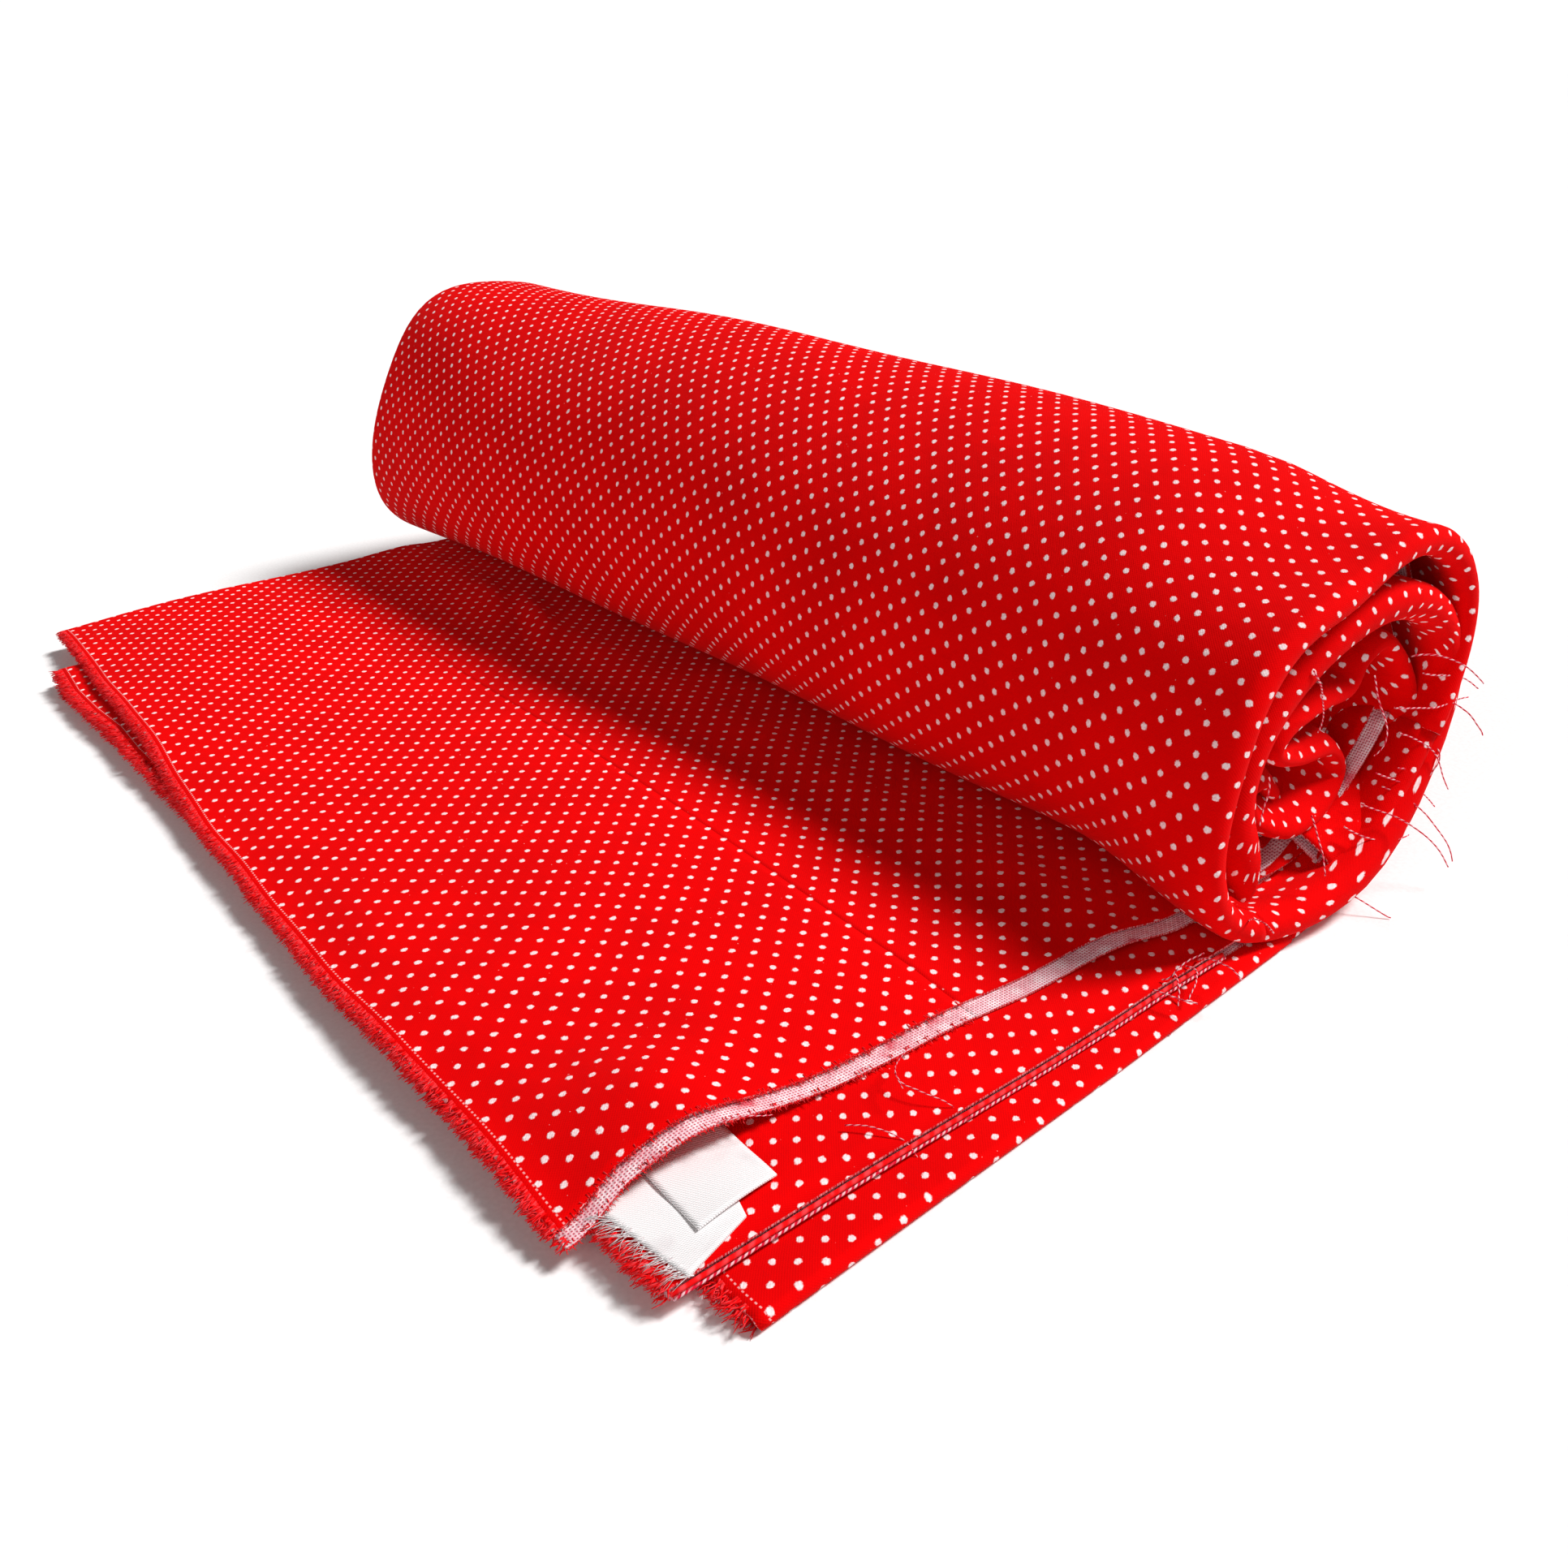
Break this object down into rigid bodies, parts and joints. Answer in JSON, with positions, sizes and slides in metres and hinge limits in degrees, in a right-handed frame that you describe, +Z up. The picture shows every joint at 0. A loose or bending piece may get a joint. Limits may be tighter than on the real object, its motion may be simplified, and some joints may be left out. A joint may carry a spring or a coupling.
{
  "type": "rolled fabric bolt",
  "caption": "Folded length of dotted cotton cloth rolled up loosely on itself, its outer end lying flat with selvage edges showing.",
  "frame": {"origin": "centre of the bounding box on the table plane", "axes": "+Z up, +X along the roll towards its open end, -Y towards the selvage edges of the flat end"},
  "size_m": [0.452, 0.2605, 0.1135],
  "materials": {
    "cloth_face": "plain-weave cotton, printed red with small off-white dots",
    "cloth_reverse": "the unprinted side of the same cotton, pink where the dye comes through",
    "selvage": "fluffy selvage fringe and frayed raw edges",
    "yarn": "loose single yarns, red and white along their length",
    "tag_twill": "white cotton twill tape with a frayed end"
  },
  "bodies": {
    "under_roll_stack": {"under_roll_bottom_pair": "cloth_face", "under_roll_near_fold": "cloth_face", "under_roll_middle_pair": "cloth_face", "under_roll_top_pair": "cloth_face"},
    "lower_pages": {"bottom_pair_lower_ply": "cloth_face", "bottom_pair_upper_ply": "cloth_face", "bottom_near_fold": "cloth_face", "bottom_selvage_fringe": "selvage", "middle_pair_lower_ply": "cloth_face", "middle_pair_upper_ply": "cloth_face", "middle_selvage_fringe": "selvage"},
    "top_pages": {"top_pair_lower_ply": "cloth_reverse", "top_pair_upper_ply": "cloth_face", "top_selvage_fringe": "selvage"},
    "tag": {"tag_lower_flap": "tag_twill", "tag_upper_flap": "tag_twill"},
    "roll": {"outer_turn_bottom_pair": "cloth_face", "outer_turn_near_fold": "cloth_face", "outer_turn_middle_pair": "cloth_face", "outer_turn_top_pair": "cloth_reverse", "second_turn_bottom_pair": "cloth_face", "second_turn_near_fold": "cloth_face", "second_turn_middle_pair": "cloth_face", "second_turn_top_pair": "cloth_reverse", "core_bottom_pair": "cloth_face", "core_middle_pair": "cloth_face", "core_top_pair": "cloth_reverse"}
  },
  "joints": [
    {"name": "roll_unroll", "type": "hinge", "parent": "under_roll_stack", "child": "roll", "pos_m": [0, 0.096, 0.009], "axis": [-1, 0, 0], "range_deg": [0, 18]},
    {"name": "lower_pages_lift", "type": "hinge", "parent": "under_roll_stack", "child": "lower_pages", "pos_m": [0, -0.004, 0.0111], "axis": [-1, 0, 0], "range_deg": [0, 30]},
    {"name": "top_pages_lift", "type": "hinge", "parent": "lower_pages", "child": "top_pages", "pos_m": [0, -0.004, 0.0111], "axis": [-1, 0, 0], "range_deg": [0, 45]},
    {"name": "tag_slide", "type": "slide", "parent": "lower_pages", "child": "tag", "axis": [1, 0, 0], "range_m": [0, 0.035]}
  ]
}
